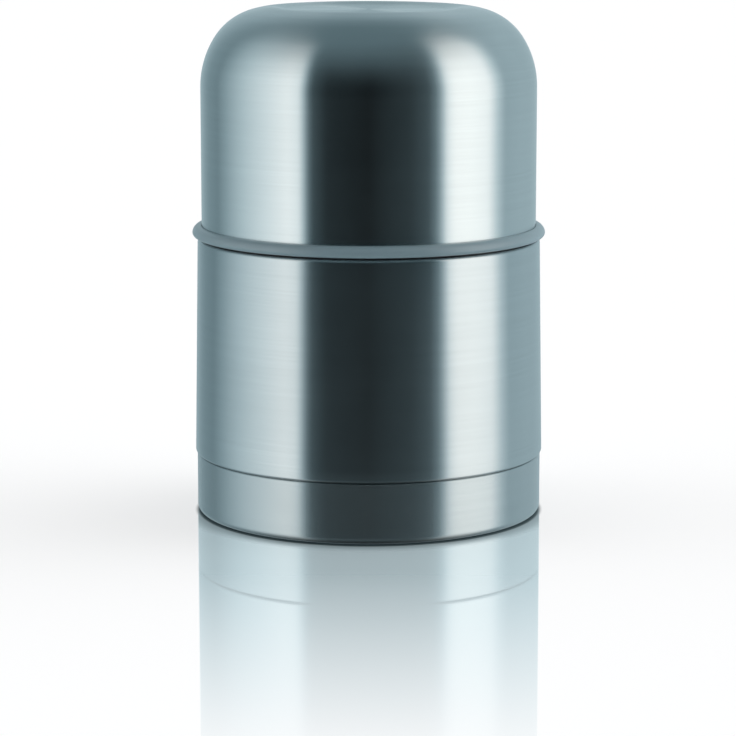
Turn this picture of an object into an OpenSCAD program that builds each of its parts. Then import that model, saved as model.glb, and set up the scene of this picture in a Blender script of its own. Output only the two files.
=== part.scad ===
// Insulated food jar: a vacuum jar, a threaded stopper with a vent, and a domed cup lid.
// The origin is the centre of the standing face, +Z points up, and the jar is closed.

/* [Jar body] */
// Outer diameter of the wall at the base seam
body_d = 100; // [90:1:130]
// How far the wall draws in on each side between the seam and the shoulder
body_taper = 1; // [0:0.1:2]
// Height of the seam between wall and base cup
seam_h = 17.6; // [14:0.2:26]
// Height of the flat shoulder that the lid closes on
shoulder_h = 79.2; // [62:0.2:150]
// Width of the shoulder between wall and neck
shoulder_w = 5.8; // [5.2:0.1:7.5]
// Radius of the shoulder's outer edge
shoulder_edge_r = 1.2; // [0.8:0.1:2]
// Height of the neck above the shoulder
neck_h = 15.8; // [14.5:0.1:22]
// Thickness of the outer steel sheet
wall_t = 0.6; // [0.4:0.1:0.8]

/* [Inner vessel] */
// Thickness of the inner steel sheet
liner_t = 0.5; // [0.4:0.05:0.7]
// Evacuated gap between the two walls at the shoulder
vacuum_gap = 3.2; // [2:0.1:5]
// Gap between the two walls in the neck
neck_gap = 1.6; // [1.2:0.1:2.2]
// Height of the inner floor above the vacuum bottom
floor_gap = 4.1; // [3.6:0.1:8]
// Radius of the corner between inner wall and inner floor
floor_corner_r = 6; // [3:0.5:12]
// Height of the slope between neck bore and inner wall
liner_slope_h = 6; // [5:0.5:12]
// Thickness of the reflective foil
foil_t = 0.15; // [0.1:0.05:0.3]

/* [Base] */
// How far the base cup stays behind the wall above it
base_inset = 0.3; // [0.1:0.1:0.8]
// Radius of the standing edge of the base cup
base_edge_r = 1.2; // [0.8:0.1:3]
// Width of the ring that the jar stands on
stand_w = 5; // [3:0.5:10]
// Height of the hollow under the base
base_hollow_h = 1.5; // [0.8:0.1:3]
// Thickness of the bonding ring between skirt and base cup
bond_t = 0.7; // [0.4:0.1:1]
// Height of the vacuum bottom above the standing face
vacuum_base_h = 9; // [7:0.5:11]

/* [Threads] */
// Rise of the lid thread in one turn
cup_lead = 15; // [12:0.5:16]
// Number of starts of the lid thread
cup_starts = 3; // [2:1:4]
// Rise of the stopper thread in one turn
stopper_lead = 10; // [8:0.5:12]
// Number of starts of the stopper thread
stopper_starts = 2; // [1:1:2]
// Height of a thread ridge on the jar
ridge_depth = 1.1; // [0.8:0.1:1.4]
// Width of a thread ridge at its root
ridge_w = 1.7; // [1.4:0.1:1.9]
// Free space between a ridge and the wall that it passes
thread_clear = 0.4; // [0.3:0.05:0.6]

/* [Cup lid] */
// Height of the lid from the underside of its lip to its crest
cup_h = 65.3; // [60:0.1:110]
// Dark gap between shoulder and lip
lip_gap = 0.5; // [0.4:0.1:1]
// How far the lip stands out from the lid's wall
lip_out = 2.65; // [2:0.05:4]
// Height of the lip
lip_h = 3.2; // [2.8:0.1:4]
// Thickness of the threaded collar
collar_t = 1.9; // [1.5:0.1:2.6]
// Height of the threaded collar
collar_h = 13.3; // [12.5:0.1:16]
// Thickness of the lid's inner bowl
bowl_t = 1.4; // [1:0.1:2]
// Gap between the lid's steel dome and its inner bowl
bowl_gap = 0.4; // [0.2:0.1:1]
// Radius of the bend that leaves the lid's wall
dome_bend_r = 26; // [20:1:32]
// Radius of the dome's main corner
dome_corner_r = 18.2; // [14:0.2:19]
// Distance from the lid's wall in to its crest
crest_inset = 22.8; // [20:0.2:26]
// Depth of the shallow dish in the top
dish_depth = 1; // [0.4:0.1:2]

/* [Stopper] */
// Thickness of the plug's wall
plug_t = 1.8; // [1.4:0.1:2.4]
// Depth of the plug below the jar's mouth
plug_h = 21.5; // [19:0.5:26]
// Height of the stopper above the jar's mouth
stopper_h = 8.5; // [8:0.1:12]
// Thickness of the stopper's flange
flange_t = 1.6; // [1.2:0.1:2]
// Thickness of the sealing gasket under the flange
gasket_t = 1.3; // [1:0.1:1.5]
// Number of finger flutes round the stopper
flutes = 24; // [12:1:30]
// Radius of a finger flute
flute_r = 2.6; // [1.5:0.1:3]
// Depth of a finger flute
flute_depth = 0.9; // [0.5:0.1:1.2]

/* [Vent] */
// Diameter of the vent button
button_d = 13; // [12:0.5:18]
// How far the button goes down
button_travel = 2.5; // [1.5:0.1:3]
// Diameter of the valve stem
stem_d = 4; // [3:0.1:4.4]
// Diameter of the spring wire
wire_d = 0.8; // [0.6:0.05:1]
// Number of turns of the spring
spring_turns = 6; // [4:1:7]

/* [Hidden] */
$fn = 96;

// Steps in one rounded stretch of an outline
arc_steps = 8;
// Running clearance between pieces that turn or slide on each other
run_clear = 0.08;

// Jar body, from the outside in
seam_r = body_d / 2;
top_r = seam_r - body_taper;
neck_r = top_r - shoulder_w;
neck_fillet = 0.8;
seam_edge = 0.3;
lip_z = shoulder_h + neck_h;
base_r = seam_r - base_inset;
skirt_r = base_r - wall_t - bond_t;
skirt_z = 5;
seam_gap = 0.15;
bond_below = 2;
bond_above = 2.1;
bond_z = vacuum_base_h - bond_below;
bond_h = seam_h - bond_z - bond_above;

// Inner vessel
mouth_r = neck_r - wall_t - neck_gap - liner_t;
lip_roll_r = (neck_r - mouth_r) / 2;
liner_r = top_r - wall_t - vacuum_gap - liner_t;
neck_run = 3.2;
neck_end_z = shoulder_h - neck_run;
slope_end_z = neck_end_z - liner_slope_h;
liner_floor_z = vacuum_base_h + floor_gap;
liner_weld_land = 1;
liner_weld_z = liner_floor_z + liner_t + floor_corner_r + liner_weld_land;
foil_end = 2;

// Vacuum bottom with its pocket, and what is fixed to the walls of the gap
pocket_r = 4;
pocket_h = 1.2;
pump_hole_r = 0.8;
drop_r = 3;
drop_h = 1;
weld_flange_h = vacuum_base_h - skirt_z;
getter_r = 3.5;
getter_h = 1.5;
getter_at = 20;
strap_l = 16;
strap_w = 3.4;
strap_t = 0.3;

// Cup lid, from the neck out
collar_slack = 0.2;
collar_r = neck_r + ridge_depth + thread_clear + collar_slack;
cup_r = collar_r + collar_t + bowl_gap + wall_t;
cup_z = shoulder_h + lip_gap;
cup_top_z = cup_z + cup_h;
collar_top_z = cup_z + collar_h;
lip_r = cup_r + lip_out;
lip_foot_r = 1.2;
lip_brow_r = 2.2;
lip_brow_a = 8;
rim_seat_z = cup_z + lip_h / 2;
bowl_seal_t = 0.8;
bowl_z = collar_top_z + bowl_seal_t;
seal_lift = 0.1;
seal_land = 0.5;
seal_reach = 0.6;
seal_in = collar_r + seal_land;
seal_out = cup_r + seal_reach;
seal_depth = 0.75;

// Dome: three arcs that meet smoothly, then the rise and fall into the dish
dome_bend_a = 32;
dome_corner_a = 75;
dish_a = 15;
crest_r = cup_r - crest_inset;
brow_r = dome_corner_r + (cup_r - dome_bend_r + (dome_bend_r - dome_corner_r) * cos(dome_bend_a)
         - crest_r) / cos(dome_corner_a);
dish_r = dish_depth / (2 * (1 - cos(dish_a)));
bend_c = [cup_r - dome_bend_r,
          cup_top_z - brow_r - (dome_bend_r - dome_corner_r) * sin(dome_bend_a)
          - (dome_corner_r - brow_r) * sin(dome_corner_a)];
corner_c = bend_c + (dome_bend_r - dome_corner_r) * [cos(dome_bend_a), sin(dome_bend_a)];
brow_c = corner_c + (dome_corner_r - brow_r) * [cos(dome_corner_a), sin(dome_corner_a)];
crest_c = [crest_r, cup_top_z - dish_r];
dish_c = crest_c + 2 * dish_r * [cos(90 + dish_a), sin(90 + dish_a)];

// Threads
ridge_tip_w = 0.55 * ridge_w;
ridge_root = 0.25;
ridge_step = 7.5;
ridge_fade = 2;
cup_ridge_rise = 4.6;
cup_ridge_z = shoulder_h + cup_ridge_rise;
cup_ridge_a = 135;
collar_ridge_a = 90;
liner_ridge_drop = 12.5;
liner_ridge_z = lip_z - liner_ridge_drop;
liner_ridge_a = 210;
plug_ridge_a = 180;
liner_ridge_less = 0.1;
liner_ridge_depth = ridge_depth - liner_ridge_less;
first_start_a = 11;
// A turning ridge runs half way between two ridges of the wall that it faces
collar_ridge_z = cup_ridge_z - cup_lead / cup_starts / 2;
collar_ridge_depth = collar_r - neck_r - thread_clear;

// Stopper
plug_r = mouth_r - liner_ridge_depth - thread_clear;
plug_bore_r = plug_r - plug_t;
base_flange_t = 1;
plug_z = lip_z - plug_h + base_flange_t;
plug_ridge_z = liner_ridge_z - stopper_lead / stopper_starts / 2;
plug_ridge_depth = mouth_r - thread_clear - plug_r;
gasket_lift = 0.15;
gasket_z = lip_z + gasket_lift;
flange_z = gasket_z + gasket_t + run_clear / 2;
flange_inset = 0.2;
flange_r = neck_r - flange_inset;
gasket_inset = 0.1;
gasket_r = flange_r - gasket_inset;
cover_z = flange_z + flange_t;
stopper_top_z = lip_z + stopper_h;
cover_inset = 0.6;
cover_r = flange_r - cover_inset;
cover_t = 1.8;
cover_edge_r = 1.4;
cover_rim_w = 9;
cover_dish_r = cover_r - cover_rim_w;
cover_dish_h = 1.4;
spigot_h = 2.5;
base_t = 3;
flute_foot = 0.8;

// Vent
button_r = button_d / 2;
button_proud = 0.3;
button_top_z = stopper_top_z + button_proud;
button_cap_h = 4;
button_cap_z = button_top_z - button_cap_h;
button_skirt = 1.2;
button_edge = 0.6;
button_rim = 2;
button_dish_h = 0.4;
barrel_r = button_r - button_skirt;
barrel_clear = 0.2;
chimney_r = barrel_r + barrel_clear;
chimney_t = 1.4;
stop_gap = 0.3;
chimney_top_z = button_cap_z - button_travel - stop_gap;
stem_r = stem_d / 2;
spring_clear = 0.6;
spring_r = stem_r + wire_d / 2 + spring_clear;
chimney_floor_z = plug_z + base_t - base_flange_t;
coil_gap = 0.15;
spring_h = spring_turns * (2 * wire_d + coil_gap);
spring_z = chimney_floor_z + run_clear;
barrel_z = spring_z + spring_h + run_clear;
stem_grip = 5;
stem_top_z = barrel_z + stem_grip;
seal_disc_t = 0.85;
seal_disc_w = 3.5;
seal_disc_r = stem_r + seal_disc_w;
base_under_z = plug_z - base_flange_t;
disc_z = base_under_z - seal_disc_t - run_clear / 2;
clip_t = 0.5;
clip_groove = 0.5;
clip_w = 2;
clip_slot_share = 0.8;
clip_r = stem_r + clip_w;
clip_z = disc_z - clip_t - run_clear / 2;
stem_tip_h = 1.2;
stem_z = clip_z - stem_tip_h;

// Points on an arc round c, from angle a0 to a1
function arc(c, r, a0, a1) =
    [for (i = [0 : arc_steps]) c + r * [cos(a0 + (a1 - a0) * i / arc_steps),
                                       sin(a0 + (a1 - a0) * i / arc_steps)]];

// The same arc without its first point, to follow an arc that ends there
function arc_on(c, r, a0, a1) = [for (i = [1 : arc_steps]) arc(c, r, a0, a1)[i]];

// The same points in the other order
function backwards(p) = [for (i = [len(p) - 1 : -1 : 0]) p[i]];

// Outline of the lid's dome from its wall to its centre, drawn in by the distance d
function dome(d) = concat(
    arc(bend_c, dome_bend_r - d, 0, dome_bend_a),
    arc_on(corner_c, dome_corner_r - d, dome_bend_a, dome_corner_a),
    arc_on(brow_c, brow_r - d, dome_corner_a, 90),
    arc_on(crest_c, dish_r - d, 90, 90 + dish_a),
    arc_on(dish_c, dish_r + d, 270 + dish_a, 270),
    [[0, dish_c[1] - dish_r - d]]);

// Solid of revolution about Z from an outline of radius and height
module turned(points) {
    rotate_extrude() polygon(points);
}

// Plain ring with its underside at z
module ring(inner, outer, z, h) {
    turned([[inner, z], [outer, z], [outer, z + h], [inner, z + h]]);
}

// One solid swept through cross-sections of equal length, with flat ends
module swept(sections) {
    n = len(sections);
    m = len(sections[0]);
    sides = [for (i = [0 : n - 2], j = [0 : m - 1])
        let (a = i * m + j, b = i * m + (j + 1) % m)
        each [[a, b, b + m], [a, b + m, a + m]]];
    caps = [[for (j = [m - 1 : -1 : 0]) j], [for (j = [0 : m - 1]) (n - 1) * m + j]];
    polyhedron([for (s = sections) each s], concat(sides, caps));
}

// One thread ridge that climbs to the right, from a buried root out or in to its tip
module ridge(wall_r, depth, z, lead, sweep) {
    way = depth > 0 ? 1 : -1;
    n = ceil(sweep / ridge_step);
    sections = [for (i = [0 : n])
        let (a = sweep * i / n,
             h = z + lead * a / 360,
             grown = min(1, min(i, n - i) / ridge_fade),
             root = wall_r - way * ridge_root,
             tip = wall_r + depth * grown - way * ridge_root / 2 * (1 - grown),
             half = [ridge_w / 2, ridge_tip_w / 2],
             flat = [[root, h - half[0]], [tip, h - half[1]], [tip, h + half[1]], [root, h + half[0]]],
             outline = way > 0 ? flat : backwards(flat))
        [for (p = outline) [p[0] * cos(a), p[0] * sin(a), p[1]]]];
    swept(sections);
}

// All starts of a thread, the first turned round by the angle turn
module thread(starts, turn, wall_r, depth, z, lead, sweep) {
    for (i = [0 : starts - 1])
        rotate(turn + 360 * i / starts)
            ridge(wall_r, depth, z, lead, sweep);
}

// Outer steel wall with its shoulder, its neck and the skirt that the base cup covers
module outer_shell() {
    edge_c = [top_r - shoulder_edge_r, shoulder_h - shoulder_edge_r];
    fillet_c = [neck_r + neck_fillet, shoulder_h + neck_fillet];
    color([0.66, 0.71, 0.72]) {
        turned(concat(
            [[skirt_r, skirt_z], [skirt_r, seam_h],
             [seam_r - seam_edge, seam_h], [seam_r, seam_h + seam_edge]],
            arc(edge_c, shoulder_edge_r, 0, 90),
            arc(fillet_c, neck_fillet, 270, 180),
            [[neck_r, lip_z - lip_roll_r], [neck_r - wall_t, lip_z - lip_roll_r]],
            arc(fillet_c, neck_fillet + wall_t, 180, 270),
            arc(edge_c, shoulder_edge_r - wall_t, 90, 0),
            [[seam_r - wall_t, seam_h + wall_t], [skirt_r - wall_t, seam_h + wall_t],
             [skirt_r - wall_t, skirt_z]]));
        thread(cup_starts, first_start_a, neck_r, ridge_depth, cup_ridge_z, cup_lead, cup_ridge_a);
    }
}

// Inner steel vessel with its rolled lip, the neck bore and the slope below it
module inner_liner() {
    lip_c = [(neck_r + mouth_r) / 2, lip_z - lip_roll_r];
    color([0.74, 0.77, 0.78]) {
        turned(concat(
            arc(lip_c, lip_roll_r, 0, 180),
            [[mouth_r, neck_end_z], [liner_r, slope_end_z], [liner_r, liner_weld_z],
             [liner_r + liner_t, liner_weld_z], [liner_r + liner_t, slope_end_z + liner_t / 2],
             [mouth_r + liner_t, neck_end_z + liner_t / 2]],
            arc(lip_c, lip_roll_r - liner_t, 180, 0)));
        thread(stopper_starts, first_start_a, mouth_r, -liner_ridge_depth, liner_ridge_z,
               stopper_lead, liner_ridge_a);
    }
}

// Drawn floor of the inner vessel, welded to its wall
module liner_bottom() {
    corner_c = [liner_r - floor_corner_r, liner_floor_z + liner_t + floor_corner_r];
    color([0.72, 0.75, 0.76])
        turned(concat(
            [[0, liner_floor_z]],
            arc(corner_c, floor_corner_r + liner_t, 270, 360),
            [[liner_r + liner_t, liner_weld_z], [liner_r, liner_weld_z]],
            arc(corner_c, floor_corner_r, 360, 270),
            [[0, liner_floor_z + liner_t]]));
}

// Reflective foil wound on the inner vessel
module foil_wrap() {
    color([0.82, 0.56, 0.38])
        ring(liner_r + liner_t, liner_r + liner_t + foil_t, liner_weld_z + foil_end,
             slope_end_z - liner_weld_z - 2 * foil_end);
}

// Gas-binding pill under the inner floor
module getter_pill() {
    color([0.35, 0.35, 0.37])
        translate([getter_at, 0, liner_floor_z - getter_h])
            cylinder(h = getter_h, r = getter_r);
}

// Spot-welded strap that holds the pill up against the inner floor
module getter_strap() {
    foot_l = (strap_l - 2 * getter_r) / 2 - strap_t;
    color([0.68, 0.7, 0.72])
        translate([getter_at, 0, 0]) {
            translate([-getter_r - strap_t, -strap_w / 2, liner_floor_z - getter_h - strap_t])
                cube([2 * (getter_r + strap_t), strap_w, strap_t]);
            for (side = [0, 1])
                mirror([side, 0, 0]) {
                    translate([getter_r, -strap_w / 2, liner_floor_z - getter_h - strap_t])
                        cube([strap_t, strap_w, getter_h + strap_t]);
                    translate([getter_r, -strap_w / 2, liner_floor_z - strap_t])
                        cube([foot_l, strap_w, strap_t]);
                }
        }
}

// Bottom of the evacuated space, with the pocket that its pump hole is closed in
module vacuum_base() {
    outer = skirt_r - wall_t;
    color([0.6, 0.63, 0.65])
        turned([[pump_hole_r, vacuum_base_h - wall_t + pocket_h],
                [pocket_r, vacuum_base_h - wall_t + pocket_h], [pocket_r, vacuum_base_h - wall_t],
                [outer - wall_t, vacuum_base_h - wall_t],
                [outer - wall_t, vacuum_base_h - weld_flange_h], [outer, vacuum_base_h - weld_flange_h],
                [outer, vacuum_base_h], [pocket_r + wall_t, vacuum_base_h],
                [pocket_r + wall_t, vacuum_base_h + pocket_h], [pump_hole_r, vacuum_base_h + pocket_h]]);
}

// Drop of solder glass that closes the pump hole
module sealing_drop() {
    top = vacuum_base_h - wall_t + pocket_h;
    dome_r = (drop_r * drop_r + drop_h * drop_h) / (2 * drop_h);
    half_a = asin(drop_r / dome_r);
    color([0.2, 0.27, 0.25])
        turned(concat([[0, top], [0, top - drop_h]],
            [for (i = [1 : arc_steps]) let (a = half_a * i / arc_steps)
                [dome_r * sin(a), top - drop_h + dome_r * (1 - cos(a))]]));
}

// Cured adhesive between skirt and base cup
module bond_ring() {
    color([0.3, 0.32, 0.33])
        ring(skirt_r, skirt_r + bond_t, bond_z, bond_h);
}

// Steel base cup that the jar stands on
module base_cup() {
    edge_c = [base_r - base_edge_r, base_edge_r];
    stand_r = base_r - base_edge_r - stand_w;
    rise_r = stand_r - base_hollow_h;
    top = seam_h - seam_gap;
    color([0.64, 0.69, 0.7])
        turned(concat(
            [[0, base_hollow_h], [rise_r, base_hollow_h], [stand_r, 0]],
            arc(edge_c, base_edge_r, 270, 360),
            [[base_r, top], [base_r - wall_t, top]],
            arc(edge_c, base_edge_r - wall_t, 360, 270),
            [[stand_r + wall_t / 2, wall_t], [rise_r + wall_t / 2, wall_t + base_hollow_h],
             [0, wall_t + base_hollow_h]]));
}

// Steel dome of the lid
module cup_shell() {
    color([0.6, 0.66, 0.68])
        turned(concat([[cup_r, rim_seat_z]], dome(0), backwards(dome(wall_t)),
                      [[cup_r - wall_t, rim_seat_z]]));
}

// Moulded inner bowl of the lid
module cup_bowl() {
    outside = wall_t + bowl_gap;
    inside = outside + bowl_t;
    color([0.42, 0.46, 0.48])
        turned(concat([[cup_r - outside, bowl_z]], dome(outside), backwards(dome(inside)),
                      [[cup_r - inside, bowl_z]]));
}

// Flat ring between the inner bowl's rim and the collar's top
module bowl_seal() {
    color([0.2, 0.21, 0.22])
        ring(cup_r - wall_t - bowl_gap - bowl_t, cup_r - wall_t - bowl_gap, collar_top_z, bowl_seal_t);
}

// Moulded collar with the lid's thread and the lip that stands out under the dome
module thread_collar() {
    foot_c = [lip_r - lip_foot_r, cup_z + lip_foot_r];
    brow_top = cup_z + lip_h;
    lip_brow_c = [lip_r - lip_brow_r, brow_top - lip_brow_r];
    groove_top = cup_z + seal_depth + run_clear;
    color([0.44, 0.49, 0.51]) {
        turned(concat(
            [[collar_r, cup_z], [seal_in - run_clear, cup_z], [seal_in - run_clear, groove_top],
             [seal_out + run_clear, groove_top], [seal_out + run_clear, cup_z]],
            arc(foot_c, lip_foot_r, 270, 360),
            arc(lip_brow_c, lip_brow_r, lip_brow_a, 90),
            [[cup_r + run_clear, brow_top], [cup_r + run_clear, rim_seat_z],
             [cup_r - wall_t - bowl_gap, rim_seat_z], [cup_r - wall_t - bowl_gap, collar_top_z],
             [collar_r, collar_top_z]]));
        thread(cup_starts, first_start_a, collar_r, -collar_ridge_depth, collar_ridge_z,
               cup_lead, collar_ridge_a);
    }
}

// Soft ring that closes the gap between lip and shoulder
module cup_seal() {
    color([0.09, 0.1, 0.11])
        ring(seal_in, seal_out, shoulder_h + seal_lift, cup_z + seal_depth - shoulder_h - seal_lift);
}

// Threaded wall of the stopper with the flange that carries the gasket
module stopper_plug() {
    color([0.16, 0.17, 0.19]) {
        turned([[plug_bore_r, plug_z], [plug_r, plug_z], [plug_r, flange_z], [flange_r, flange_z],
                [flange_r, cover_z], [plug_bore_r, cover_z]]);
        thread(stopper_starts, first_start_a, plug_r, plug_ridge_depth, plug_ridge_z,
               stopper_lead, plug_ridge_a);
    }
}

// Underside of the stopper, with the chimney that guides the vent
module stopper_base() {
    color([0.2, 0.21, 0.23])
        turned([[stem_r + run_clear, base_under_z], [plug_r, base_under_z], [plug_r, plug_z],
                [plug_bore_r, plug_z], [plug_bore_r, chimney_floor_z],
                [chimney_r + chimney_t, chimney_floor_z], [chimney_r + chimney_t, chimney_top_z],
                [chimney_r, chimney_top_z], [chimney_r, chimney_floor_z],
                [stem_r + run_clear, chimney_floor_z]]);
}

// Insulation that fills the stopper
module stopper_foam() {
    color([0.86, 0.84, 0.78])
        ring(chimney_r + chimney_t, plug_bore_r, chimney_floor_z, cover_z - spigot_h - chimney_floor_z);
}

// Fluted top of the stopper, with a shallow dish round the button
module stopper_cover() {
    edge_c = [cover_r - cover_edge_r, stopper_top_z - cover_edge_r];
    under = stopper_top_z - cover_dish_h - cover_t;
    color([0.14, 0.15, 0.17])
        difference() {
            turned(concat(
                [[plug_bore_r - plug_t, cover_z - spigot_h], [plug_bore_r, cover_z - spigot_h],
                 [plug_bore_r, cover_z], [cover_r, cover_z]],
                arc(edge_c, cover_edge_r, 0, 90),
                [[cover_dish_r + cover_dish_h, stopper_top_z], [cover_dish_r, stopper_top_z - cover_dish_h],
                 [button_r + run_clear, stopper_top_z - cover_dish_h], [button_r + run_clear, under],
                 [plug_bore_r - plug_t, under]]));
            for (i = [0 : flutes - 1])
                rotate(360 * (i + 0.5) / flutes)
                    translate([cover_r + flute_r - flute_depth, 0, cover_z + flute_foot])
                        cylinder(h = stopper_top_z, r = flute_r);
        }
}

// Silicone ring that the flange presses on the rolled lip
module stopper_gasket() {
    color([0.72, 0.73, 0.72])
        ring(plug_r + run_clear, gasket_r, gasket_z, gasket_t);
}

// Button with the barrel that slides in the chimney and grips the stem
module vent_button() {
    color([0.55, 0.58, 0.6])
        turned([[stem_r, barrel_z], [barrel_r, barrel_z], [barrel_r, button_cap_z],
                [button_r, button_cap_z], [button_r, button_top_z - button_edge],
                [button_r - button_edge, button_top_z], [button_r - button_rim, button_top_z],
                [button_r - button_rim - button_edge, button_top_z - button_dish_h],
                [0, button_top_z - button_dish_h], [0, stem_top_z], [stem_r, stem_top_z]]);
}

// Compression spring between the chimney's floor and the barrel
module vent_spring() {
    rings = 8;
    faces = 6;
    wire_r = wire_d / 2;
    climb = spring_h - wire_d;
    n = rings * spring_turns;
    middle = [for (i = [0 : n]) let (a = 360 * i / rings)
        [spring_r * cos(a), spring_r * sin(a), spring_z + wire_r + climb * i / n]];
    gaps = [for (i = [0 : n], j = [0 : n]) if (j > i + rings / 2) norm(middle[i] - middle[j]) - wire_d];
    echo(spring_least_gap = min(gaps));
    color([0.75, 0.76, 0.78])
        swept([for (i = [0 : n]) let (a = 360 * i / rings)
            [for (j = [0 : faces - 1]) let (b = 360 * j / faces)
                [(spring_r + wire_r * cos(b)) * cos(a), (spring_r + wire_r * cos(b)) * sin(a),
                 middle[i][2] + wire_r * sin(b)]]]);
}

// Rod that carries the valve, with a groove for its clip
module valve_stem() {
    color([0.6, 0.62, 0.64])
        turned([[0, stem_z], [stem_r, stem_z], [stem_r, clip_z - run_clear / 2],
                [stem_r - clip_groove, clip_z - run_clear / 2], [stem_r - clip_groove, disc_z],
                [stem_r, disc_z], [stem_r, stem_top_z], [0, stem_top_z]]);
}

// Soft disc that closes the hole under the stopper
module valve_seal() {
    color([0.7, 0.71, 0.7])
        ring(stem_r, seal_disc_r, disc_z, seal_disc_t);
}

// Open spring clip under the valve seal
module stem_clip() {
    slot = 2 * (stem_r - clip_groove) * clip_slot_share;
    color([0.72, 0.73, 0.75])
        difference() {
            ring(stem_r - clip_groove, clip_r, clip_z, clip_t);
            translate([0, -slot / 2, clip_z - clip_t])
                cube([2 * clip_r, slot, 3 * clip_t]);
        }
}

outer_shell();
inner_liner();
liner_bottom();
foil_wrap();
getter_pill();
getter_strap();
vacuum_base();
sealing_drop();
bond_ring();
base_cup();
cup_shell();
cup_bowl();
bowl_seal();
thread_collar();
cup_seal();
stopper_plug();
stopper_base();
stopper_foam();
stopper_cover();
stopper_gasket();
vent_button();
vent_spring();
valve_stem();
valve_seal();
stem_clip();
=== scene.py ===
import math

import bpy
import numpy as np
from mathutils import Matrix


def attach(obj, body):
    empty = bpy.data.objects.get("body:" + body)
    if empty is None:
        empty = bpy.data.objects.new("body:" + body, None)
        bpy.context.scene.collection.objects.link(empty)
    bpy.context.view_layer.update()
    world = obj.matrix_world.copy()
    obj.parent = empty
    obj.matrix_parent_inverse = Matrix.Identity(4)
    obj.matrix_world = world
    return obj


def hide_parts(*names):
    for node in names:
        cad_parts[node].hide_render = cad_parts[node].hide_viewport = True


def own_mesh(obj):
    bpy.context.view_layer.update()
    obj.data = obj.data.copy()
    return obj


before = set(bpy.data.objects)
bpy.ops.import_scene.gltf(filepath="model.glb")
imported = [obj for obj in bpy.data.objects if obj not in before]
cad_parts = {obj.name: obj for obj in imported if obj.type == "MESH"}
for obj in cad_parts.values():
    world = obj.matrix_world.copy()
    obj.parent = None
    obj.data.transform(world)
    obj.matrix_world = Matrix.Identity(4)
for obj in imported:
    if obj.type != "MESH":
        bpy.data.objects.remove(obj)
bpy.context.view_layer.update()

MM = 0.001


# Camera: eye level a little above the lid, looking down on the jar from its front with a long lens.
camera_place = (-0.0002, -0.8567, 0.1930)
camera_pitch = math.radians(10.07)
camera_lens = 147.3
camera_data = bpy.data.cameras.new("photo_view")
camera_data.lens = camera_lens
camera_data.sensor_width = 36
camera_data.clip_end = 100
camera = bpy.data.objects.new("photo_view", camera_data)
camera.location = camera_place
camera.rotation_euler = (math.radians(90) - camera_pitch, 0, 0)
bpy.context.scene.collection.objects.link(camera)
bpy.context.scene.camera = camera


# Inner vessel: drawn from thin stainless sheet, polished inside, with a lip rolled outwards at the mouth.
# Two rolled ridges in the neck hold the stopper. Its floor is a drawn dish welded to the wall.
def unit(degrees):
    """The direction (cos t, sin t) of an angle t in degrees, or of each angle in an array."""
    t = np.radians(degrees)
    return np.stack([np.cos(t), np.sin(t)], axis=-1)


def arc(centre, radius, start, end, steps=14):
    """Points at centre + radius * (cos t, sin t), with t going evenly from start to end in degrees."""
    return np.asarray(centre) + radius * unit(np.linspace(start, end, steps + 1))


def run(start, end, spacing):
    """Evenly spaced points on the straight line from start to end, no further apart than spacing."""
    steps = max(1, math.ceil(math.dist(start, end) / spacing))
    return np.linspace(start, end, steps + 1)


def outline(*stretches):
    """One closed outline of (radius, height) rows in mm, with points that repeat left out."""
    rows = np.concatenate([np.atleast_2d(np.asarray(s, float)) for s in stretches])
    step = np.linalg.norm(rows - np.roll(rows, 1, axis=0), axis=1)
    return rows[step > 1e-4]


def mesh_piece(name, points, corners, sizes, sharp):
    """A smooth mesh object, creased where two faces meet at more than sharp degrees.

    corners lists the points of all the faces one after another, and sizes how many each face has."""
    mesh = bpy.data.meshes.new(name)
    mesh.vertices.add(len(points))
    mesh.vertices.foreach_set("co", points.astype(np.float32).ravel())
    mesh.loops.add(len(corners))
    mesh.loops.foreach_set("vertex_index", corners.astype(np.int32))
    mesh.polygons.add(len(sizes))
    mesh.polygons.foreach_set("loop_start", (np.cumsum(sizes) - sizes).astype(np.int32))
    mesh.polygons.foreach_set("use_smooth", np.ones(len(sizes), bool))
    mesh.update(calc_edges=True)
    mesh.set_sharp_from_angle(angle=math.radians(sharp))
    piece = bpy.data.objects.new(name, mesh)
    bpy.context.scene.collection.objects.link(piece)
    return piece


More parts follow.
